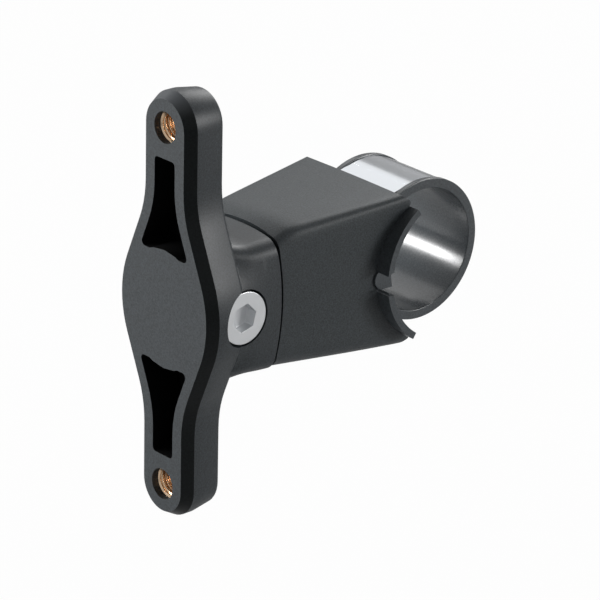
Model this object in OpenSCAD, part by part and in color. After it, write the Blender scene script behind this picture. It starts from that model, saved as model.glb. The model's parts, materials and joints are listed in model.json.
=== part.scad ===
// Bottle cage mount: a dog-bone plate that a bottle cage bolts to, on a block
// that a steel strap draws against a handlebar or a post.
// Frame: the origin is the centre of the bar. X runs along the bar, the plate
// faces -Y and +Z is up the plate.

/* [Bar and strap] */
// Diameter of the bar that the loop is made for
bar_d = 22.2; // [19:0.1:25.4]
// Wall of the plastic liner under the strap
liner_t = 0.9; // [0.7:0.1:1.2]
// Thickness of the steel strap
strap_t = 0.5; // [0.3:0.1:0.6]
// Width of the strap
strap_w = 14; // [12:0.5:15]
// Width of the strap's two ends, inside the block
strap_end_w = 9; // [7:0.5:10]
// Width of each rim of the liner
rim_w = 1.1; // [0.8:0.1:1.4]
// How far the rims stand proud of the strap
rim_lip = 0.25; // [0.1:0.05:0.5]
// Half the angle that the liner covers, from the loop's far side
liner_half_angle = 121; // [112:1:123]
// Angle from the loop's far side at which the strap leaves the bar
strap_leave = 104; // [101:1:106]

/* [Cage plate] */
// Distance from the plate's front face to the bar's axis
bar_reach = 50.9; // [50:0.5:56]
// Height of the bar's axis above the middle of the plate
bar_rise = 0.9; // [0:0.1:1.2]
// Distance between the two cage bolts
bolt_spacing = 64; // [62:0.5:70]
// Width of the plate's two arms
arm_w = 12; // [11:0.5:14]
// Width of the plate across its middle
disc_w = 24.3; // [22:0.1:25]
// Radius of the plate's bulging sides
side_r = 19; // [17:0.5:21]
// Slope of the straight part of the sides
flare_angle = 23; // [20:0.5:26]
// Radius where the sides run into the arms
blend_r = 18; // [15:0.5:20]
// Thickness of the plate
plate_t = 8.2; // [7.5:0.1:10]
// How far the front chamfer cuts into the outline
chamfer_w = 1.1; // [0.6:0.1:1.4]
// Depth of the front chamfer
chamfer_d = 2; // [1:0.1:2.4]
// Depth at which the sides begin to draw in
rim_d = 3.8; // [3:0.1:5]
// How far the sides draw in at the back
back_draft = 0.6; // [0.3:0.1:1]
// Radius of the plate's rear edge
back_r = 0.8; // [0.4:0.1:1]

/* [Pockets] */
// Wall left between each pocket and the plate's front edge
pocket_wall = 2.3; // [1.8:0.1:2.6]
// Distance from the plate's middle to the near side of each pocket
pocket_in = 10.6; // [10:0.1:12]
// Wall left between each pocket and the bolt hole
pocket_hole_wall = 2.7; // [2.2:0.1:4]
// Depth of the pockets
pocket_d = 6.8; // [5:0.1:7]

/* [Cage bolt inserts] */
// Radius of the hole in front of each insert
mouth_r = 2.75; // [2.6:0.05:3]
// Outer radius of the inserts
insert_r = 3.5; // [3.3:0.1:3.9]
// Radius of the core hole of the insert's thread
insert_bore_r = 2.1; // [2:0.05:2.2]
// How far the inserts sit behind the plate's face
insert_recess = 1.3; // [0.8:0.1:1.8]
// Length of the inserts
insert_l = 5.9; // [5:0.1:6]

/* [Boss and block] */
// Half the boss's width at the seam
seam_half_w = 9.8; // [9.5:0.1:11]
// Top of the boss at the seam, from the middle of the plate
seam_top = 11.4; // [11.2:0.1:12.2]
// Underside of the boss at the seam, from the middle of the plate
seam_bottom = 12.6; // [12:0.1:13.4]
// Distance from the plate's face to the middle of the seam
seam_y = 18.5; // [18:0.1:19.5]
// Radius of the domed seam
seam_r = 44; // [38:1:60]
// Gap along the seam
seam_gap = 0.5; // [0.3:0.05:0.6]
// Half the block's width at its rear
rear_half_w = 13.2; // [12.6:0.1:14]
// Top of the block at its rear, from the middle of the plate
rear_top = 14.4; // [13.8:0.1:15]
// Underside of the block at its rear, from the middle of the plate
rear_bottom = 13.8; // [13.2:0.1:14.5]
// Radius of the block's long edges at the seam
edge_r_seam = 2.8; // [2:0.1:3.6]
// Radius of the block's long edges at the rear
edge_r_rear = 2.2; // [1.6:0.1:3.4]
// Distance from the bar's axis to the block's rear end
rear_back = 7.1; // [6.8:0.1:7.6]

/* [Saddle] */
// Outer radius of the saddle pad, which is the radius of the saddle
saddle_r = 14.2; // [14.1:0.1:14.6]
// How far the saddle's centre lies below the bar's axis
saddle_drop = 0.7; // [0:0.1:0.8]
// Thickness of the pad's side lips
lip_t = 1.2; // [1:0.05:1.3]
// How far the lips stand out from the block's sides
lip_out = 2; // [1.5:0.1:2.6]
// Angle of the pad above the direction of the plate
pad_up = 57; // [52:1:58]
// Angle of the pad below the direction of the plate
pad_down = 56; // [52:1:60]
// Height of the tab in the middle of each lip
tab_h = 3.8; // [3.2:0.1:4.4]
// How far the tabs reach into the block's edge
tab_reach = 0.6; // [0.4:0.1:1.2]
// How far the tabs sit back from the ends of the lips
tab_back = 2.6; // [1.6:0.1:2.8]
// Gap below each tab
tab_gap = 0.3; // [0.2:0.1:0.5]

/* [Cross screw] */
// Distance from the plate's face to the screw's axis
screw_y = 8.8; // [8.8:0.1:10]
// Height of the screw's axis, from the middle of the plate
screw_z = -0.5; // [-1:0.1:0.5]
// Radius of the screw's shank
screw_r = 2.5; // [2.4:0.1:2.6]
// Radius of the screw's head
head_r = 4.65; // [4.4:0.05:4.8]
// Thickness of the screw's head
head_t = 2.6; // [2.4:0.1:3]
// How far the head sits below the boss's side
head_recess = 0.6; // [0.3:0.1:0.8]
// Width across the flats of the screw's socket
hex_af = 4.4; // [3.8:0.1:5]
// Depth of the screw's socket
hex_d = 2; // [1.6:0.1:2]
// Play around the head
head_gap = 0.4; // [0.2:0.05:0.5]
// Thread pitch of the screw
pitch = 0.8; // [0.8:0.1:1]
// Turns of the screw from clamped to loose
screw_turns = 3; // [2:0.5:3]

/* [Strap drive] */
// Length of the wedge nut along the screw
nut_l = 6; // [5.5:0.1:6.4]
// Half the height of the wedge nut
nut_half_h = 3.6; // [3.3:0.1:3.8]
// Thickness of the nut beside the screw
nut_wall = 1.1; // [1:0.05:1.15]
// Slope of the nut's wedge face against the screw's axis
wedge_angle = 15; // [12:1:16]
// Thickness of the yoke's arms
yoke_arm_t = 1.8; // [1.4:0.1:2]
// Thickness of the yoke's crosspiece at its thin end
yoke_cross_t = 1; // [0.9:0.05:1.05]
// Radius of the two strap pins
pin_r = 1; // [0.8:0.05:1.1]
// Distance from the strap pins to the bar's axis
pin_back = 24; // [23:0.1:25]
// Play between pieces that move past each other
play = 0.3; // [0.25:0.05:0.35]
// Play between a shaft and its hole
shaft_play = 0.05; // [0.03:0.01:0.08]

/* [Hidden] */
$fn = 96;
eps = 0.01;

// Radii about the bar
bar_r = bar_d / 2;
liner_r = bar_r + liner_t;
strap_in_r = liner_r + 0.05;
strap_out_r = strap_in_r + strap_t;
rim_r = strap_out_r + rim_lip;
liner_half_w = strap_w / 2 + 0.1 + rim_w;

// Places along Y and Z, seen from the bar's axis
front_y = -bar_reach;
mid_z = -bar_rise;
seam_at = front_y + seam_y;
screw_at = [front_y + screw_y, mid_z + screw_z];

// How far the nut and the strap move between clamped and loose
nut_travel = pitch * screw_turns;
strap_travel = nut_travel * tan(wedge_angle);

function mix(a, b, t) = a + (b - a) * t;

// Points of a circle's arc, from angle a to angle b
function arc(c, r, a, b, n) =
    [for (i = [0:n]) c + r * [cos(a + (b - a) * i / n), sin(a + (b - a) * i / n)]];

// A ring from its right half, which runs from the lowest to the highest point
function ring_of(half) =
    concat(half, [for (i = [len(half) - 2:-1:1]) [-half[i][0], half[i][1], half[i][2]]]);

// A closed skin over such rings. Each cap is a row of strips across the ring.
module skin(rings) {
    n = len(rings[0]);
    m = len(rings);
    sides = [for (j = [0:m - 2], i = [0:n - 1], k = [0:1])
        let (a = j * n + i, b = j * n + (i + 1) % n)
        k == 0 ? [a, b, b + n] : [a, b + n, a + n]];
    cap = [for (i = [0:n / 2 - 1])
        i == 0 ? [0, 1, n - 1] :
        i == n / 2 - 1 ? [i, i + 1, n - i] :
        [i, i + 1, n - i - 1, n - i]];
    polyhedron(
        points = [for (ring = rings, p = ring) p],
        faces = concat(
            sides,
            [for (f = cap) [for (i = [len(f) - 1:-1:0]) f[i]]],
            [for (f = cap) [for (i = f) i + (m - 1) * n]]),
        convexity = 6);
}

// An extrusion along X, centred, of a shape drawn with Y across and Z up
module along_x(w) {
    rotate([90, 0, 90]) linear_extrude(height = w, center = true, convexity = 6) children();
}

// A pie slice, from angle a to angle b
module slice(a, b) {
    polygon(concat([[0, 0]], arc([0, 0], 60, a, b, 8)));
}

// A curved strip about the bar, from angle a to angle b
module strip(r_in, r_out, a, b) {
    intersection() {
        difference() {
            circle(r_out);
            circle(r_in);
        }
        slice(a, b);
    }
}

// A round shaft along X, from x0 to x1
module shaft(at, r, x0, x1) {
    translate([x0, at[0], at[1]]) rotate([0, 90, 0]) cylinder(r = r, h = x1 - x0);
}

// One quarter of the plate's outline, as [x, z, normal x, normal z]
flare_end_x = arm_w / 2 + blend_r * (1 - cos(flare_angle));
bulge_end = [disc_w / 2 - side_r * (1 - cos(flare_angle)), side_r * sin(flare_angle)];
flare_end_z = bulge_end[1] + (bulge_end[0] - flare_end_x) / tan(flare_angle);
blend_end_z = flare_end_z + blend_r * sin(flare_angle);
quarter = concat(
    [for (i = [0:5]) let (a = flare_angle * i / 5)
        [disc_w / 2 - side_r * (1 - cos(a)), side_r * sin(a), cos(a), sin(a)]],
    [for (i = [0:5]) let (a = flare_angle * (1 - i / 5))
        [arm_w / 2 + blend_r * (1 - cos(a)), blend_end_z - blend_r * sin(a), cos(a), sin(a)]],
    [for (i = [0:11]) let (a = 90 * i / 11)
        [arm_w / 2 * cos(a), bolt_spacing / 2 + arm_w / 2 * sin(a), cos(a), sin(a)]]);
last = len(quarter) - 1;
right_side = concat(
    [for (i = [last:-1:1]) let (q = quarter[i]) [q[0], -q[1], q[2], -q[3]]],
    quarter);

// The outline drawn in by d, at depth y behind the plate's front face
function plate_ring(d, y) = ring_of(
    [for (q = right_side) [q[0] - d * q[2], front_y + y, mid_z + q[1] - d * q[3]]]);

module plate_body() {
    back = concat(
        [[0, rim_d]],
        [for (i = [0:5]) let (a = 18 * i)
            [back_draft + back_r * (1 - cos(a)), plate_t - back_r * (1 - sin(a))]]);
    skin(concat(
        [plate_ring(chamfer_w, 0), plate_ring(0, chamfer_d)],
        [for (b = back) plate_ring(b[0], b[1])]));
}

// The plate's half width at height z on its front face
function flat_half_w(z) =
    (z < bulge_end[1] ? disc_w / 2 - side_r + sqrt(side_r * side_r - z * z) :
     z < flare_end_z ? bulge_end[0] - (z - bulge_end[1]) * tan(flare_angle) :
     z < blend_end_z ? arm_w / 2 + blend_r
         - sqrt(blend_r * blend_r - pow(blend_end_z - z, 2)) :
     arm_w / 2) - chamfer_w;

// The pocket's outline above the middle, with small rounded corners
pocket_out = bolt_spacing / 2 - mouth_r - pocket_hole_wall;
corner_r = 0.75;
module pocket_shape() {
    heights = [for (i = [0:10]) mix(pocket_in - corner_r, pocket_out, i / 10)];
    side = [for (z = heights) [flat_half_w(z) - pocket_wall, z]];
    offset(r = corner_r, $fn = 24) offset(delta = -corner_r)
        difference() {
            polygon(concat(side, [for (i = [10:-1:0]) [-side[i][0], side[i][1]]]));
            circle(pocket_in);
        }
}

module pocket(up) {
    translate([0, front_y - eps, mid_z])
        mirror([0, 0, up ? 0 : 1])
            rotate([90, 0, 0]) mirror([0, 0, 1])
                linear_extrude(height = pocket_d + eps) pocket_shape();
}

// A section of the boss or the block, in X and Z at distance y from the face,
// with a slightly crowned top and underside
crown = 0.2;
function section(w, top, bottom, r, bulge, y) =
    let (
        zt = top - crown - r,
        zb = -bottom + crown + r,
        flat = w - bulge - r,
        low = [for (i = [0:5]) let (a = -90 + 15 * i)
            [flat + r * cos(a), zb + r * sin(a)]],
        side = [for (i = [0:6]) let (z = mix(zb, zt, i / 6), s = z / (z > 0 ? zt : zb))
            [w - bulge * s * s, z]],
        high = [for (i = [1:6]) let (a = 15 * i)
            [flat + r * cos(a), zt + r * sin(a)]],
        under = [for (t = [0:0.25:0.8]) [t * flat, -bottom + crown * t * t]],
        over = [for (t = [0.75:-0.25:0]) [t * flat, top - crown * t * t]])
    ring_of([for (p = concat(under, low, side, high, over))
        [p[0], front_y + y, mid_z + p[1]]]);

// The boss, from inside the plate to past the seam. Its top and underside run
// into the plate's back in a hollow curve.
boss_root_w = disc_w / 2 - 0.15;
boss_root_h = 10.6;
function root_flare(y) = 1.2 * pow(1 - max(0, min(1, (y - plate_t + 0.8) / 4.5)), 2);
module boss_body() {
    skin([for (i = [0:14]) let (
            y = mix(chamfer_d, seam_y + 1, i / 14),
            k = min((y - chamfer_d) / (seam_y - chamfer_d), 1),
            level = 1 - pow(1 - k, 2))
        section(
            mix(boss_root_w, seam_half_w, k),
            mix(boss_root_h, seam_top, level) + root_flare(y),
            mix(boss_root_h, seam_bottom, level) + root_flare(y),
            edge_r_seam, 3 * pow(1 - k, 1.3) + 0.7 * root_flare(y), y)]);
}

module dome(r) {
    translate([0, seam_at - seam_r, mid_z]) sphere(r, $fn = 160);
}

// The room in the boss for the wedge nut and the front of the yoke
room_half_w = 6.6;
room_floor = 1.3;
room_half_h = nut_half_h + yoke_arm_t + 3 * play;
module boss_room() {
    translate([-room_half_w, front_y + room_floor, screw_at[1] - room_half_h])
        cube([2 * room_half_w, seam_y, 2 * room_half_h]);
}

// The side of the boss at the screw
side_at_screw = mix(boss_root_w, seam_half_w, (screw_y - chamfer_d) / (seam_y - chamfer_d));
head_face = side_at_screw - head_recess;
head_seat = head_face - head_t;
shank_end = -room_half_w - 1.4;

// Two pegs on the boss locate the block
peg_r = 1.1;
peg_x = 7.6;
peg_l = 2.2;
module pegs(r, l) {
    for (side = [-1, 1])
        translate([side * peg_x, seam_at - 2, mid_z + 6]) rotate([-90, 0, 0])
            cylinder(r = r, h = l + 2);
}

module bolt_places() {
    for (up = [-1, 1]) translate([0, front_y, mid_z + up * bolt_spacing / 2])
        rotate([-90, 0, 0]) children();
}

module cage_plate() {
    color("dimgray")
    difference() {
        union() {
            plate_body();
            intersection() {
                boss_body();
                dome(seam_r);
            }
            pegs(peg_r, peg_l);
        }
        pocket(true);
        pocket(false);
        boss_room();
        bolt_places() translate([0, 0, -eps]) cylinder(r = mouth_r, h = plate_t + 1);
        bolt_places() translate([0, 0, insert_recess])
            cylinder(r = insert_r, h = insert_l);
        shaft(screw_at, head_r + head_gap, head_seat, head_seat + 6);
        shaft(screw_at, screw_r + 2 * shaft_play, shank_end - play, head_seat + eps);
    }
}

module insert(up) {
    color("peru")
    translate([0, front_y + insert_recess, mid_z + up * bolt_spacing / 2])
        rotate([-90, 0, 0])
            difference() {
                cylinder(r = insert_r, h = insert_l);
                translate([0, 0, -eps]) cylinder(r = insert_bore_r, h = insert_l + 2 * eps);
            }
}

module insert_upper() insert(1);
module insert_lower() insert(-1);

// The strap's legs are straight from where they leave the bar. Along a leg,
// s = 0 is the point where it leaves and s grows towards the plate.
leg_slope = strap_leave - 90;
leg_l = (pin_back - strap_in_r * sin(leg_slope)) / cos(leg_slope);

// A band beside a leg, from s0 to s1 and from r_in to r_out
module leg_band(up, r_in, r_out, s0, s1) {
    mirror([0, up > 0 ? 0 : 1]) rotate(90 + leg_slope)
        translate([r_in, s0]) square([r_out - r_in, s1 - s0]);
}

// The pins lie on the inner side of the legs, which run just outside the eyes
pin_off = strap_in_r - pin_r - shaft_play - 2 * eps;
function pin_place(up) =
    [pin_off * cos(strap_leave) - leg_l * sin(strap_leave),
     up * (pin_off * sin(strap_leave) + leg_l * cos(strap_leave))];
pin_y = pin_place(1)[0];
eye_r = pin_r + shaft_play + strap_t;

// The slots that the strap runs through, wide enough for it to slide
slot_in = strap_in_r - play - strap_travel * sin(leg_slope);
slot_out = strap_out_r + play;
module strap_slots() {
    for (up = [-1, 1])
        along_x(strap_w + 2 * play) leg_band(up, slot_in, slot_out, -2, leg_l - 2);
}

// The block's hollow for the strap's ends and the yoke
hollow_half_w = strap_end_w / 2 + 1.2 + play;
hollow_half_h = pin_place(1)[1] + eye_r + 2 * play;
hollow_end = -saddle_r - 3.2;
module block_hollow() {
    translate([-hollow_half_w, seam_at - 4, -hollow_half_h])
        cube([2 * hollow_half_w, hollow_end - seam_at + 4, 2 * hollow_half_h]);
}

// The saddle's circle and the shapes cut from it are centred below the bar
module saddle_centre() {
    translate([0, 0, -saddle_drop]) children();
}

// How far along the block y is, as a height that levels out towards the rear
block_end = bar_reach - rear_back;
function ease(t, p) = t < 0 ? p * t : 1 - pow(1 - t, p);
module block_body() {
    skin([for (i = [0:14]) let (
            y = mix(seam_y - 1.6, block_end, pow(i / 14, 1.3)),
            k = (y - seam_y) / (block_end - seam_y))
        section(
            mix(seam_half_w, rear_half_w, k),
            mix(seam_top, rear_top, ease(k, 3.4)),
            mix(seam_bottom, rear_bottom, ease(k, 1.3)),
            mix(edge_r_seam, edge_r_rear, k), 0, y)]);
}

// The block's outline from the side, with its two rear corners cut back
rear_at = -rear_back;
module rear_profile() {
    polygon([
        [seam_at - 6, mid_z - rear_bottom - 1],
        [rear_at - 1.4, mid_z - rear_bottom - 1],
        [rear_at - 1.4, mid_z - rear_bottom],
        [rear_at + eps, mid_z - rear_bottom + 1.5],
        [rear_at + eps, mid_z + rear_top - 2.8],
        [rear_at - 2.1, mid_z + rear_top],
        [rear_at - 2.1, mid_z + rear_top + 1],
        [seam_at - 6, mid_z + rear_top + 1]]);
}

// The side of the block at the deepest part of the saddle
side_at_saddle = mix(seam_half_w, rear_half_w,
    (-saddle_r - seam_at) / (block_end - seam_y));
tab_face = rear_half_w + lip_out - tab_back;
tab_t = 1.2;
tab_start = tab_face - tab_t;

// The outline of the tabs from the side, grown by d and hanging down by hang
module tab_shape(d, hang) {
    r = tab_h / 2;
    translate([-saddle_r - tab_reach + r, mid_z]) {
        circle(r + d);
        translate([0, -r - d - hang]) square([3.4, 2 * (r + d) + hang]);
        translate([-0.6 * r, -r - d - hang]) square([r, r]);
    }
}

module clamp_block() {
    color("darkslategray")
    difference() {
        intersection() {
            block_body();
            along_x(60) rear_profile();
        }
        dome(seam_r + seam_gap);
        saddle_centre() along_x(60) circle(saddle_r);
        block_hollow();
        strap_slots();
        pegs(peg_r + 0.1, peg_l + 0.3);
        for (side = [-1, 1])
            translate([side * (tab_start + 2.85), 0, 0]) along_x(6) tab_shape(0.1, tab_gap);
    }
}

module saddle_pad() {
    color("gray") {
        difference() {
            union() {
                saddle_centre() along_x(2 * (rear_half_w + lip_out))
                    strip(saddle_r - lip_t, saddle_r, 180 - pad_up, 180 + pad_down);
                intersection() {
                    saddle_centre() along_x(2 * liner_half_w)
                        strip(8, saddle_r - lip_t + eps, 180 - pad_up, 180 + pad_down);
                    along_x(60) strip(bar_r, 20, 127, 233);
                }
            }
            strap_slots();
            for (side = [-1, 1])
                translate([side * (side_at_saddle + 3), 0, 0]) along_x(6) tab_shape(0, tab_gap);
        }
        for (side = [-1, 1]) translate([side * (tab_start + tab_t / 2), 0, 0]) along_x(tab_t)
            difference() {
                tab_shape(0, 0);
                circle(bar_r + 0.1);
            }
    }
}

// The strap is wide up to here along its legs, and narrow beyond. The legs are
// a hair thinner than the band round the bar, so that the two join cleanly.
wide_l = 12;
leg_inset = 0.005;
module strap_side() {
    strip(strap_in_r, strap_out_r, -strap_leave, strap_leave);
    for (up = [-1, 1])
        leg_band(up, strap_in_r + leg_inset, strap_out_r - leg_inset, -0.3, wide_l);
}

module strap_ends() {
    for (up = [-1, 1]) {
        leg_band(up, strap_in_r + leg_inset, strap_out_r - leg_inset, wide_l - eps, leg_l);
        translate(pin_place(up)) difference() {
            circle(eye_r);
            circle(pin_r + shaft_play);
        }
    }
}

module strap() {
    color("silver") {
        along_x(strap_w) strap_side();
        along_x(strap_end_w) strap_ends();
    }
}

module strap_liner() {
    color("dimgray") {
        along_x(2 * liner_half_w)
            strip(bar_r, liner_r, -liner_half_angle, liner_half_angle);
        for (side = [-1, 1])
            translate([side * (liner_half_w - rim_w / 2), 0, 0]) along_x(rim_w)
                strip(liner_r - eps, rim_r, -liner_half_angle, liner_half_angle);
    }
}

module clamp_screw() {
    color("lightgray")
    difference() {
        union() {
            shaft(screw_at, head_r, head_seat, head_face);
            shaft(screw_at, screw_r, shank_end, head_seat + eps);
        }
        translate([head_face - hex_d, screw_at[0], screw_at[1]])
            rotate([0, 90, 0]) rotate(45)
                cylinder(r = hex_af / sqrt(3), h = hex_d + 1, $fn = 6);
    }
}

// The wedge nut, with its sloped face towards the plate
nut_x0 = -nut_l / 2 + 0.8;
nut_x1 = nut_x0 + nut_l;
nut_back = screw_r + nut_wall;
module wedge_nut() {
    color("goldenrod")
    difference() {
        translate([0, screw_at[0], screw_at[1] - nut_half_h])
            linear_extrude(height = 2 * nut_half_h)
                polygon([
                    [nut_x0, nut_back],
                    [nut_x0, -nut_back - nut_l * tan(wedge_angle)],
                    [nut_x1, -nut_back],
                    [nut_x1, nut_back]]);
        shaft(screw_at, screw_r + shaft_play, nut_x0 - 1, nut_x1 + 1);
    }
}

// The yoke is a frame around the nut, with a block at its rear for the pins
yoke_half_w = hollow_half_w - play;
yoke_inner_h = nut_half_h + play;
yoke_block = [pin_y - eye_r - play - 0.8, pin_y + eye_r + play];
yoke_block_h = hollow_half_h - play;

// The place of the yoke's sloped face at x, beside the nut's
function wedge_y(x) =
    screw_at[0] - nut_back - (nut_x1 - x) * tan(wedge_angle) - shaft_play / cos(wedge_angle);
yoke_front = wedge_y(-yoke_half_w) - yoke_cross_t;

module yoke_arms() {
    for (z = [yoke_inner_h, -yoke_inner_h - yoke_arm_t])
        translate([-yoke_half_w, yoke_front, screw_at[1] + z])
            cube([2 * yoke_half_w, yoke_block[0] + eps - yoke_front, yoke_arm_t]);
}

module yoke_crosspiece() {
    translate([0, 0, screw_at[1] - yoke_inner_h - eps])
        linear_extrude(height = 2 * (yoke_inner_h + eps))
            polygon([
                [-yoke_half_w, yoke_front],
                [yoke_half_w, yoke_front],
                [yoke_half_w, wedge_y(yoke_half_w)],
                [-yoke_half_w, wedge_y(-yoke_half_w)]]);
}

module yoke_rear() {
    difference() {
        translate([-yoke_half_w, yoke_block[0], -yoke_block_h])
            cube([2 * yoke_half_w, yoke_block[1] - yoke_block[0], 2 * yoke_block_h]);
        for (up = [-1, 1]) {
            shaft(pin_place(up), pin_r + shaft_play, -yoke_half_w - 1, yoke_half_w + 1);
            along_x(strap_end_w + 2 * play) {
                translate(pin_place(up)) circle(eye_r + play);
                leg_band(up, strap_in_r - play, strap_out_r + 6, leg_l - 4, leg_l);
            }
        }
    }
}

module strap_yoke() {
    color("slategray") {
        yoke_arms();
        yoke_crosspiece();
        yoke_rear();
    }
}

module strap_pin(up) {
    color("silver")
        shaft(pin_place(up), pin_r, -yoke_half_w, yoke_half_w);
}

module strap_pin_upper() strap_pin(1);
module strap_pin_lower() strap_pin(-1);

cage_plate();
insert_upper();
insert_lower();
clamp_block();
saddle_pad();
strap();
strap_liner();
clamp_screw();
wedge_nut();
strap_yoke();
strap_pin_upper();
strap_pin_lower();
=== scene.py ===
import json
import math

import bmesh
import bpy
from mathutils import Matrix, Vector

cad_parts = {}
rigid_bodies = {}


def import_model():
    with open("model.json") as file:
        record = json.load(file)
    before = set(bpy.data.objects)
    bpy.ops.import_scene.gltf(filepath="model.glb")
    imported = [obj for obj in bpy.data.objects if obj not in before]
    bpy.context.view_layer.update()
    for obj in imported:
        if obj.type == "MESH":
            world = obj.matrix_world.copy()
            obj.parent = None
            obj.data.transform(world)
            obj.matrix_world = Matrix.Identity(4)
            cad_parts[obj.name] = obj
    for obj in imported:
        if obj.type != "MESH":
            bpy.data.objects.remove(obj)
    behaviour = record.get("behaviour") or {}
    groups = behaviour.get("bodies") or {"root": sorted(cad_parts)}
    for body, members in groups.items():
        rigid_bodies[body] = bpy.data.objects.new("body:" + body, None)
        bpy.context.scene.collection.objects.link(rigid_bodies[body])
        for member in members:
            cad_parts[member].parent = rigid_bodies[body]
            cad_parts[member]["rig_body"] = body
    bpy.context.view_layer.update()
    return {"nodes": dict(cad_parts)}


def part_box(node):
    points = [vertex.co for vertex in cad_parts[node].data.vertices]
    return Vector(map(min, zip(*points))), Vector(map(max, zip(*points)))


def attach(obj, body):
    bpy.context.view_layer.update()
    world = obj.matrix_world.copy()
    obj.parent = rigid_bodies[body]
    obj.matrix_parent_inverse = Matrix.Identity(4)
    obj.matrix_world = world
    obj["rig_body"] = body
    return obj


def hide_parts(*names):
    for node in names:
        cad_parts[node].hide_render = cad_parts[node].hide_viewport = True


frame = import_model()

# The product shot's camera: a long lens, above and to the right of the cage
# plate, turned a little about its own axis as in the photograph.
azimuth, elevation, roll = math.radians(48.4), math.radians(22.23), math.radians(1.29)
aim, distance = Vector((0.00595, -0.0259, -0.00365)), 0.64
back = Vector((math.sin(azimuth) * math.cos(elevation),
               -math.cos(azimuth) * math.cos(elevation),
               math.sin(elevation)))
level_right = Vector((math.cos(azimuth), math.sin(azimuth), 0))
level_up = back.cross(level_right)
right = level_right * math.cos(roll) + level_up * math.sin(roll)
up = level_up * math.cos(roll) - level_right * math.sin(roll)
camera = bpy.data.objects.new("camera", bpy.data.cameras.new("camera"))
camera.data.sensor_width = 36
camera.data.lens = 226.57
camera.data.clip_start, camera.data.clip_end = 0.05, 20
camera.matrix_world = Matrix((
    (right.x, up.x, back.x, aim.x + distance * back.x),
    (right.y, up.y, back.y, aim.y + distance * back.y),
    (right.z, up.z, back.z, aim.z + distance * back.z),
    (0, 0, 0, 1)))
bpy.context.scene.collection.objects.link(camera)
bpy.context.scene.camera = camera

# The studio: a white table top under the mount and a white room, lit by four
# soft lights: a low one and a high one on the left, one high at the back, and
# one behind on the right.
def principled(name, color, roughness):
    material = bpy.data.materials.new(name)
    material.use_nodes = True
    shader = material.node_tree.nodes["Principled BSDF"]
    shader.inputs["Base Color"].default_value = (*color, 1)
    shader.inputs["Roughness"].default_value = roughness
    return material, material.node_tree, shader


def softbox(name, place, size, watts):
    light = bpy.data.lights.new(name, "AREA")
    light.shape = "RECTANGLE"
    light.size, light.size_y = size
    light.energy = watts
    lamp = bpy.data.objects.new(name, light)
    lamp.location = place
    lamp.rotation_mode = "QUATERNION"
    towards_mount = Vector((0, -0.02, 0)) - lamp.location
    lamp.rotation_quaternion = towards_mount.to_track_quat("-Z", "Y")
    bpy.context.scene.collection.objects.link(lamp)


def shown_white(tree, shader, target, socket, share):
    # Its own light, but white by that share where the camera looks straight at it
    nodes, links = tree.nodes, tree.links
    path = nodes.new("ShaderNodeLightPath")
    part = nodes.new("ShaderNodeMath")
    part.operation = "MULTIPLY"
    part.inputs[1].default_value = share
    links.new(path.outputs["Is Camera Ray"], part.inputs[0])
    white = nodes.new("ShaderNodeEmission")
    white.inputs["Color"].default_value = (1, 1, 1, 1)
    mix = nodes.new("ShaderNodeMixShader")
    links.new(part.outputs["Value"], mix.inputs["Fac"])
    links.new(shader, mix.inputs[1])
    links.new(white.outputs["Emission"], mix.inputs[2])
    links.new(mix.outputs["Shader"], target.inputs[socket])
    return path


table_reach, table_height = 3, -0.1
table_material, table_tree, table_shader = principled(
    "table_white", (0.5, 0.5, 0.5), 0.8)
shown_white(table_tree, table_shader.outputs["BSDF"],
            table_tree.nodes["Material Output"], "Surface", 0.97)
table_mesh = bpy.data.meshes.new("table_top")
table_mesh.from_pydata([(table_reach * x, table_reach * y, table_height)
                        for x, y in ((-1, -1), (1, -1), (1, 1), (-1, 1))],
                       [], [(0, 1, 2, 3)])
table_mesh.materials.append(table_material)
table_top = bpy.data.objects.new("table_top", table_mesh)
bpy.context.scene.collection.objects.link(table_top)

room_plain, room_in_gloss = 0.1, 0.35
room = bpy.data.worlds.new("room")
room.use_nodes = True
room_light = room.node_tree.nodes["Background"]
room_light.inputs["Color"].default_value = (1, 1, 1, 1)
room_path = shown_white(room.node_tree, room_light.outputs["Background"],
                        room.node_tree.nodes["World Output"], "Surface", 1)
room_level = room.node_tree.nodes.new("ShaderNodeMath")
room_level.operation = "MULTIPLY_ADD"
room_level.inputs[1].default_value = room_in_gloss
room_level.inputs[2].default_value = room_plain
room.node_tree.links.new(room_path.outputs["Is Glossy Ray"], room_level.inputs[0])
room.node_tree.links.new(room_level.outputs["Value"], room_light.inputs["Strength"])
bpy.context.scene.world = room
bpy.context.scene.view_settings.view_transform = "Standard"
softbox("front_light", place=(-0.5, -0.49, 0.2), size=(0.5, 0.12), watts=6)
softbox("top_light", place=(-0.62, 0.2, 0.56), size=(0.5, 0.5), watts=0.75)
softbox("overhead_light", place=(-0.3, 0.64, 0.46), size=(0.4, 0.4), watts=3.3)
softbox("rear_light", place=(0.66, 0.56, 0.22), size=(0.32, 0.3), watts=3.6)

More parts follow.
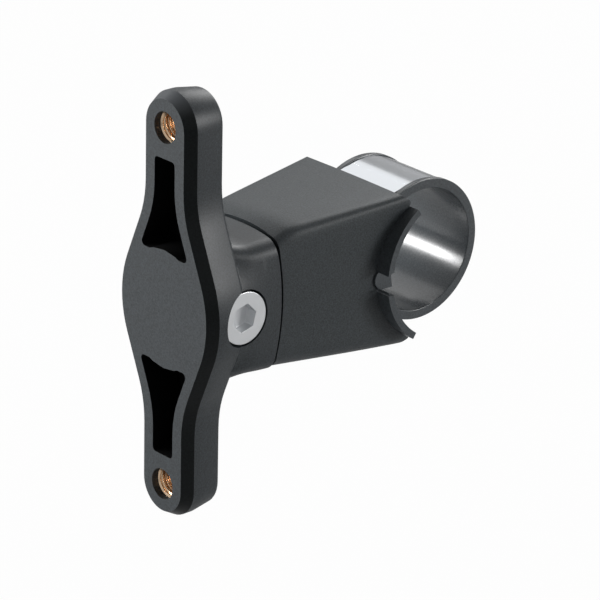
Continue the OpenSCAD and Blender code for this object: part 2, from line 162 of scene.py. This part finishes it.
# The cage plate with its boss: one piece of black plastic, moulded with a fine
# grain. Its front edge is cut to a smooth bevel, painted near black as painted shade
# and paler where it faces up as a painted highlight; its pockets are painted near black
# as painted shade.
def grain_group():
    group = bpy.data.node_groups.new("moulded_grain", "ShaderNodeTree")
    face = group.interface
    face.new_socket("Color", in_out="INPUT", socket_type="NodeSocketColor")
    for name in ("Grain Size", "Fleck", "Roughness"):
        face.new_socket(name, in_out="INPUT", socket_type="NodeSocketFloat")
    face.new_socket("Color", in_out="OUTPUT", socket_type="NodeSocketColor")
    face.new_socket("Roughness", in_out="OUTPUT", socket_type="NodeSocketFloat")
    face.new_socket("Height", in_out="OUTPUT", socket_type="NodeSocketFloat")
    nodes, links = group.nodes, group.links
    given = nodes.new("NodeGroupInput")
    result = nodes.new("NodeGroupOutput")
    place = nodes.new("ShaderNodeTexCoord")
    scale = nodes.new("ShaderNodeMath")
    scale.operation = "DIVIDE"
    scale.inputs[0].default_value = 1
    links.new(given.outputs["Grain Size"], scale.inputs[1])
    grain = nodes.new("ShaderNodeTexNoise")
    grain.inputs["Detail"].default_value = 2
    grain.inputs["Roughness"].default_value = 0.7
    links.new(place.outputs["Object"], grain.inputs["Vector"])
    links.new(scale.outputs["Value"], grain.inputs["Scale"])
    clouds = nodes.new("ShaderNodeTexNoise")
    clouds.inputs["Scale"].default_value = 90
    clouds.inputs["Detail"].default_value = 3
    links.new(place.outputs["Object"], clouds.inputs["Vector"])
    # Flecks lighten and darken the colour about its own value
    spread = nodes.new("ShaderNodeMapRange")
    for end, value in (("From Min", 0.3), ("From Max", 0.7),
                       ("To Min", -1), ("To Max", 1)):
        spread.inputs[end].default_value = value
    links.new(grain.outputs["Fac"], spread.inputs["Value"])
    change = nodes.new("ShaderNodeMath")
    change.operation = "MULTIPLY_ADD"
    change.inputs[2].default_value = 1
    links.new(spread.outputs["Result"], change.inputs[0])
    links.new(given.outputs["Fleck"], change.inputs[1])
    tint = nodes.new("ShaderNodeVectorMath")
    tint.operation = "SCALE"
    links.new(given.outputs["Color"], tint.inputs[0])
    links.new(change.outputs["Value"], tint.inputs["Scale"])
    links.new(tint.outputs["Vector"], result.inputs["Color"])
    # Clouds make the gloss uneven, by up to this much more roughness
    unevenness = 0.12
    worn = nodes.new("ShaderNodeMath")
    worn.operation = "MULTIPLY_ADD"
    worn.inputs[1].default_value = unevenness
    links.new(clouds.outputs["Fac"], worn.inputs[0])
    links.new(given.outputs["Roughness"], worn.inputs[2])
    links.new(worn.outputs["Value"], result.inputs["Roughness"])
    links.new(grain.outputs["Fac"], result.inputs["Height"])
    return group


moulded_grain = grain_group()


def moulded(name, color, roughness, grain_mm, fleck, relief_mm, specular):
    material, tree, shader = principled(name, color, roughness)
    surface = tree.nodes.new("ShaderNodeGroup")
    surface.node_tree = moulded_grain
    surface.inputs["Color"].default_value = (*color, 1)
    surface.inputs["Grain Size"].default_value = grain_mm / 1000
    surface.inputs["Fleck"].default_value = fleck
    surface.inputs["Roughness"].default_value = roughness
    relief = tree.nodes.new("ShaderNodeBump")
    relief.inputs["Strength"].default_value = 1
    relief.inputs["Distance"].default_value = relief_mm / 1000
    tree.links.new(surface.outputs["Color"], shader.inputs["Base Color"])
    tree.links.new(surface.outputs["Roughness"], shader.inputs["Roughness"])
    tree.links.new(surface.outputs["Height"], relief.inputs["Height"])
    tree.links.new(relief.outputs["Normal"], shader.inputs["Normal"])
    shader.inputs["Specular IOR Level"].default_value = specular
    return material


def soft_edged(node, materials, edge_mm, crease_deg=30):
    # A copy of the node with its triangles merged, its curved faces shaded
    # smooth, and its edges rounded where the mesh leaves room for it
    merge_distance, flat_deg = 3e-6, 0.4
    source = frame["nodes"][node]
    mesh = source.data.copy()
    mesh.name = node + "_finish"
    form = bmesh.new()
    form.from_mesh(mesh)
    bmesh.ops.remove_doubles(form, verts=form.verts, dist=merge_distance)
    bmesh.ops.dissolve_limit(form, angle_limit=math.radians(flat_deg),
                             verts=form.verts, edges=form.edges)
    for face in form.faces:
        face.smooth = True
    crease = math.radians(crease_deg)
    for edge in form.edges:
        edge.smooth = len(edge.link_faces) == 2 and edge.calc_face_angle(0) < crease
    form.to_mesh(mesh)
    form.free()
    mesh.materials.clear()
    for material in materials:
        mesh.materials.append(material)
    piece = bpy.data.objects.new(node + "_finish", mesh)
    bpy.context.scene.collection.objects.link(piece)
    edges = piece.modifiers.new("rounded_edges", "BEVEL")
    edges.width = edge_mm / 1000
    edges.segments = 2
    edges.limit_method = "ANGLE"
    edges.angle_limit = crease
    edges.harden_normals = True
    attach(piece, source["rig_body"])
    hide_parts(node)
    return piece


plate_plastic = moulded("plate_plastic", (0.0275, 0.0335, 0.038),
                        roughness=0.38, grain_mm=0.3, fleck=0.5,
                        relief_mm=0.016, specular=0.45)
# Painted shade: the bevel's near black colour stands in for the dark surroundings it
# reflects
bevel_shade_and_highlight = moulded("bevel_shade_and_highlight", (0.007, 0.009, 0.0095),
                        roughness=0.25, grain_mm=0.3, fleck=0.4,
                        relief_mm=0.008, specular=0.16)
# Painted shade: the pockets' walls and floors are painted near black for the shade
# inside them
pocket_painted_shade = moulded("pocket_painted_shade", (0.003, 0.003, 0.0032),
                         roughness=0.5, grain_mm=0.3, fleck=0.2,
                         relief_mm=0.01, specular=0.1)
# Painted highlight: the bevel's colour is painted paler where it faces up, at its upper
# end, for the light that falls there
bevel_tree = bevel_shade_and_highlight.node_tree
facing = bevel_tree.nodes.new("ShaderNodeNewGeometry")
split = bevel_tree.nodes.new("ShaderNodeSeparateXYZ")
bevel_tree.links.new(facing.outputs["Normal"], split.inputs["Vector"])
painted_highlight_share = bevel_tree.nodes.new("ShaderNodeMapRange")
painted_highlight_share.interpolation_type = "SMOOTHSTEP"
painted_highlight_share.inputs["From Min"].default_value = 0.4
painted_highlight_share.inputs["From Max"].default_value = 0.92
bevel_tree.links.new(split.outputs["Z"], painted_highlight_share.inputs["Value"])
bevel_highlight_tint = bevel_tree.nodes.new("ShaderNodeMix")
bevel_highlight_tint.data_type = "RGBA"
bevel_highlight_tint.inputs["B"].default_value = (0.1, 0.107, 0.115, 1)
bevel_shader = bevel_tree.nodes["Principled BSDF"]
bevel_tree.links.new(bevel_shader.inputs["Base Color"].links[0].from_socket,
                     bevel_highlight_tint.inputs["A"])
bevel_tree.links.new(painted_highlight_share.outputs["Result"], bevel_highlight_tint.inputs["Factor"])
bevel_tree.links.new(bevel_highlight_tint.outputs["Result"], bevel_shader.inputs["Base Color"])
plate = soft_edged("cage_plate", (plate_plastic, bevel_shade_and_highlight, pocket_painted_shade),
                   edge_mm=0.15, crease_deg=24)
# Each face takes its colour from where it lies: the bevel's painted shade and
# highlight, the near black painted shade on a pocket's walls and floor, or the plate's
# own colour
on_plate, on_painted_bevel, in_pocket_shade = range(3)
bevel_from, bevel_to = 0.0001, 0.0019
pocket_near, pocket_middle, pocket_far = 0.009, 0.018, 0.0275
pocket_half_width, wall_depth, floor_depth = 0.0065, 0.0067, 0.006
steepest_bevel, flattest_bevel, frontal, sideways = -0.6, -0.3, -0.9, 0.1
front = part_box("cage_plate")[0].y
middle = (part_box("cage_plate")[0].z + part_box("cage_plate")[1].z) / 2
for face in plate.data.polygons:
    x, y, z = face.center
    rise, lean = abs(z - middle), face.normal.y
    over_pocket = (z - middle) * (1 - pocket_middle / rise)
    inward = face.normal.x * x + face.normal.z * over_pocket < 0
    bevelled = steepest_bevel < lean < flattest_bevel
    if front + bevel_from < y < front + bevel_to and bevelled:
        face.material_index = on_painted_bevel
    elif (pocket_near < rise < pocket_far and abs(x) < pocket_half_width
          and front < y < front + wall_depth):
        is_wall = inward and abs(lean) < sideways
        face.material_index = in_pocket_shade if is_wall else on_plate
    elif lean < frontal and y > front + floor_depth and rise > pocket_near:
        face.material_index = in_pocket_shade

# The two threaded inserts: turned brass bushes, moulded into the plate's ends,
# with an M5 thread cut down each bore.
def turned_bush(name, centre_z, front_y, length, outer, root):
    # The bush is turned about an axis along Y, with its bore's ends chamfered
    lead, sides, crease = 0.00025, 64, 0.5
    profile = [(outer, 0), (root + lead, 0), (root, lead), (root, length - lead),
               (root + lead, length), (outer, length)]
    form = bmesh.new()
    rings = []
    for radius, depth in profile:
        rings.append([form.verts.new((
            radius * math.cos(turn * math.tau / sides), front_y + depth,
            centre_z + radius * math.sin(turn * math.tau / sides)))
            for turn in range(sides)])
    for here, there in zip(rings, rings[1:] + rings[:1]):
        for turn in range(sides):
            after = (turn + 1) % sides
            form.faces.new((here[turn], here[after], there[after], there[turn]))
    bmesh.ops.recalc_face_normals(form, faces=form.faces)
    for face in form.faces:
        face.smooth = True
    for edge in form.edges:
        edge.smooth = edge.calc_face_angle(0) < crease
    mesh = bpy.data.meshes.new(name)
    form.to_mesh(mesh)
    form.free()
    bush = bpy.data.objects.new(name, mesh)
    bpy.context.scene.collection.objects.link(bush)
    return bush


def thread_tree():
    # One ridge, wound in a helix down the bore of every bush
    tree = bpy.data.node_groups.new("tapped_thread", "GeometryNodeTree")
    face = tree.interface
    face.new_socket("Places", in_out="INPUT", socket_type="NodeSocketGeometry")
    for name in ("Pitch", "Turns", "Root Radius", "Ridge"):
        face.new_socket(name, in_out="INPUT", socket_type="NodeSocketFloat")
    face.new_socket("Finish", in_out="INPUT", socket_type="NodeSocketMaterial")
    face.new_socket("Threads", in_out="OUTPUT", socket_type="NodeSocketGeometry")
    nodes, links = tree.nodes, tree.links
    given = nodes.new("NodeGroupInput")
    result = nodes.new("NodeGroupOutput")
    rise = nodes.new("ShaderNodeMath")
    rise.operation = "MULTIPLY"
    links.new(given.outputs["Pitch"], rise.inputs[0])
    links.new(given.outputs["Turns"], rise.inputs[1])
    helix = nodes.new("GeometryNodeCurveSpiral")
    helix.inputs["Resolution"].default_value = 40
    links.new(given.outputs["Turns"], helix.inputs["Rotations"])
    links.new(given.outputs["Root Radius"], helix.inputs["Start Radius"])
    links.new(given.outputs["Root Radius"], helix.inputs["End Radius"])
    links.new(rise.outputs["Value"], helix.inputs["Height"])
    upright = nodes.new("GeometryNodeSetCurveNormal")
    upright.mode = "Z_UP"
    links.new(helix.outputs["Curve"], upright.inputs["Curve"])
    ridge = nodes.new("GeometryNodeCurvePrimitiveCircle")
    ridge.inputs["Resolution"].default_value = 4
    links.new(given.outputs["Ridge"], ridge.inputs["Radius"])
    wound = nodes.new("GeometryNodeCurveToMesh")
    wound.inputs["Fill Caps"].default_value = True
    links.new(upright.outputs["Curve"], wound.inputs["Curve"])
    links.new(ridge.outputs["Curve"], wound.inputs["Profile Curve"])
    laid = nodes.new("GeometryNodeTransform")
    laid.inputs["Rotation"].default_value = (-math.pi / 2, 0, 0)
    links.new(wound.outputs["Mesh"], laid.inputs["Geometry"])
    each = nodes.new("GeometryNodeInstanceOnPoints")
    links.new(given.outputs["Places"], each.inputs["Points"])
    links.new(laid.outputs["Geometry"], each.inputs["Instance"])
    real = nodes.new("GeometryNodeRealizeInstances")
    links.new(each.outputs["Instances"], real.inputs["Geometry"])
    finish = nodes.new("GeometryNodeSetMaterial")
    links.new(real.outputs["Geometry"], finish.inputs["Geometry"])
    links.new(given.outputs["Finish"], finish.inputs["Material"])
    links.new(finish.outputs["Geometry"], result.inputs["Threads"])
    return tree


def made_by(tree, name, places, settings):
    # The tree's result as a plain mesh, in an object of its own
    mesh = bpy.data.meshes.new(name + "_places")
    mesh.from_pydata(places, [], [])
    seed = bpy.data.objects.new(name + "_places", mesh)
    bpy.context.scene.collection.objects.link(seed)
    maker = seed.modifiers.new(name, "NODES")
    maker.node_group = tree
    for item in tree.interface.items_tree:
        if item.in_out == "INPUT" and item.name in settings:
            maker[item.identifier] = settings[item.name]
    bpy.context.view_layer.update()
    seen = seed.evaluated_get(bpy.context.evaluated_depsgraph_get())
    result = bpy.data.meshes.new_from_object(seen)
    result.name = name
    bpy.data.objects.remove(seed)
    piece = bpy.data.objects.new(name, result)
    bpy.context.scene.collection.objects.link(piece)
    return piece


def worn_group():
    # Fine tool and handling marks: spots of a metal that shine more or less
    group = bpy.data.node_groups.new("worn_metal", "ShaderNodeTree")
    face = group.interface
    for name in ("Scale", "Smoothest", "Roughest"):
        face.new_socket(name, in_out="INPUT", socket_type="NodeSocketFloat")
    face.new_socket("Roughness", in_out="OUTPUT", socket_type="NodeSocketFloat")
    nodes, links = group.nodes, group.links
    given = nodes.new("NodeGroupInput")
    result = nodes.new("NodeGroupOutput")
    place = nodes.new("ShaderNodeTexCoord")
    marks = nodes.new("ShaderNodeTexNoise")
    marks.inputs["Detail"].default_value = 2
    links.new(place.outputs["Object"], marks.inputs["Vector"])
    links.new(given.outputs["Scale"], marks.inputs["Scale"])
    spread = nodes.new("ShaderNodeMapRange")
    links.new(marks.outputs["Fac"], spread.inputs["Value"])
    links.new(given.outputs["Smoothest"], spread.inputs["To Min"])
    links.new(given.outputs["Roughest"], spread.inputs["To Max"])
    links.new(spread.outputs["Result"], result.inputs["Roughness"])
    return group


worn_metal = worn_group()


def metal(name, color, scale, smoothest, roughest):
    material, tree, shader = principled(name, color, roughest)
    shader.inputs["Metallic"].default_value = 1
    surface = tree.nodes.new("ShaderNodeGroup")
    surface.node_tree = worn_metal
    for given, value in (("Scale", scale), ("Smoothest", smoothest),
                         ("Roughest", roughest)):
        surface.inputs[given].default_value = value
    tree.links.new(surface.outputs["Roughness"], shader.inputs["Roughness"])
    return material


brass = metal("turned_brass", (0.94, 0.69, 0.47),
              scale=2500, smoothest=0.14, roughest=0.34)
bore_root, thread_start = 0.00245, 0.00035
bush_places = []
for node in ("insert_upper", "insert_lower"):
    near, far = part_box(node)
    bush_z = (near.z + far.z) / 2
    bush = turned_bush(node + "_turned", bush_z, near.y, far.y - near.y,
                       (far.z - near.z) / 2, bore_root)
    bush.data.materials.append(brass)
    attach(bush, frame["nodes"][node]["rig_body"])
    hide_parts(node)
    bush_places.append((0, near.y + thread_start, bush_z))
threads = made_by(thread_tree(), "insert_threads", bush_places,
                  {"Pitch": 0.0008, "Turns": 6.5, "Root Radius": 0.00247,
                   "Ridge": 0.00041, "Finish": brass})
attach(threads, frame["nodes"]["insert_upper"]["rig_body"])

# The clamp block: a tapered black moulding that carries the saddle. It sits on
# the boss's domed end and is moulded with a fine grain too.
block_plastic = moulded("block_plastic", (0.036, 0.0435, 0.048),
                        roughness=0.38, grain_mm=0.26, fleck=0.5,
                        relief_mm=0.02, specular=0.52)
block = soft_edged("clamp_block", [block_plastic], edge_mm=0.3)


def reshape_top(mesh, front_y, middle_z):
    # The top runs almost straight from the seam to the rear, and its two long
    # edges are tighter than those of the solid. Every length here is in mm.
    seam_deep, block_length = 18.5, 25.3
    seam_half_width, width_gain = 9.8, 3.4
    seam_edge, edge_loss = 2.8, 0.6
    seam_top, top_gain, top_curve, crown = 11.4, 3, 3.4, 0.2
    corner_from, corner_play, corner_power, power_loss = 0.02, 0.06, 0.7, 0.2
    line_from, line_height, line_slope = 21, 12.9, 0.07
    dip, dip_length = 0.55, 2.6
    lift_from, lift_over = 7.5, 3.5
    for corner in mesh.vertices:
        across, deep, high = (corner.co.x * 1000, (corner.co.y - front_y) * 1000,
                              (corner.co.z - middle_z) * 1000)
        along = (deep - seam_deep) / block_length
        half, edge = seam_half_width + width_gain * along, seam_edge - edge_loss * along
        rise = (top_curve * along if along < 0
                else 1 - (1 - min(along, 1)) ** top_curve)
        top = seam_top + top_gain * rise
        # Across the solid's rounded edge, out grows from 0 at its inner side to 1
        # at its outer side, and over from 0 at its foot to 1 at its top
        out = (abs(across) - half + edge) / edge
        over = (high - top + crown + edge) / edge
        rounded = out > corner_from and over > corner_from
        if rounded and abs(math.hypot(out, over) - 1) < corner_play:
            tight = corner_power - power_loss * min(max(along, 0), 1)
            new_out, new_over = min(out, 1) ** tight, min(over, 1) ** tight
            across = math.copysign(half - edge + edge * new_out, across)
            high = top - crown - edge + edge * new_over
        straight = line_height + line_slope * (deep - line_from)
        if deep < line_from:
            straight -= dip * ((line_from - deep) / dip_length) ** 2
        share = min(max((high - lift_from) / lift_over, 0), 1)
        high += (straight - top) * share * share * (3 - 2 * share)
        corner.co.x, corner.co.z = across / 1000, high / 1000 + middle_z


reshape_top(block.data, front, middle)

# The saddle pad: a plastic shoe in the block's hollow end, with a lip and a tab
# that stand out at each side of the block.
pad_plastic = moulded("pad_plastic", (0.056, 0.065, 0.072),
                      roughness=0.34, grain_mm=0.3, fleck=0.35,
                      relief_mm=0.015, specular=0.5)
pad = soft_edged("saddle_pad", [pad_plastic], edge_mm=0.3)

# The strap: a band of polished stainless steel, bent round the bar. Its two
# ends run through slots in the block to the drive inside.
strap_steel = metal("strap_steel", (0.57, 0.59, 0.615),
                    scale=1500, smoothest=0.15, roughest=0.25)
strap = soft_edged("strap", [strap_steel], edge_mm=0.12)

# The strap's liner: a plastic channel that keeps the steel off the bar, with a
# raised rim along each edge.
liner_plastic = moulded("liner_plastic", (0.05, 0.059, 0.066),
                        roughness=0.17, grain_mm=0.3, fleck=0.3,
                        relief_mm=0.004, specular=0.8)
liner = soft_edged("strap_liner", [liner_plastic], edge_mm=0.15)

# The cross screw: plated steel with a flat head and a hexagon socket. The head
# sits just below the boss's side, in a recess.
screw_steel = metal("screw_steel", (0.77, 0.785, 0.8),
                    scale=3000, smoothest=0.3, roughest=0.46)
screw = soft_edged("clamp_screw", [screw_steel], edge_mm=0.12)

# The drive inside the boss and the block: a wedge nut, the yoke that it pushes,
# and the two pins that hold the strap's ends.
inner_steel = metal("inner_steel", (0.4, 0.4, 0.41),
                    scale=2000, smoothest=0.35, roughest=0.55)
for node in ("wedge_nut", "strap_yoke", "strap_pin_upper", "strap_pin_lower"):
    frame["nodes"][node].data.materials.clear()
    frame["nodes"][node].data.materials.append(inner_steel)
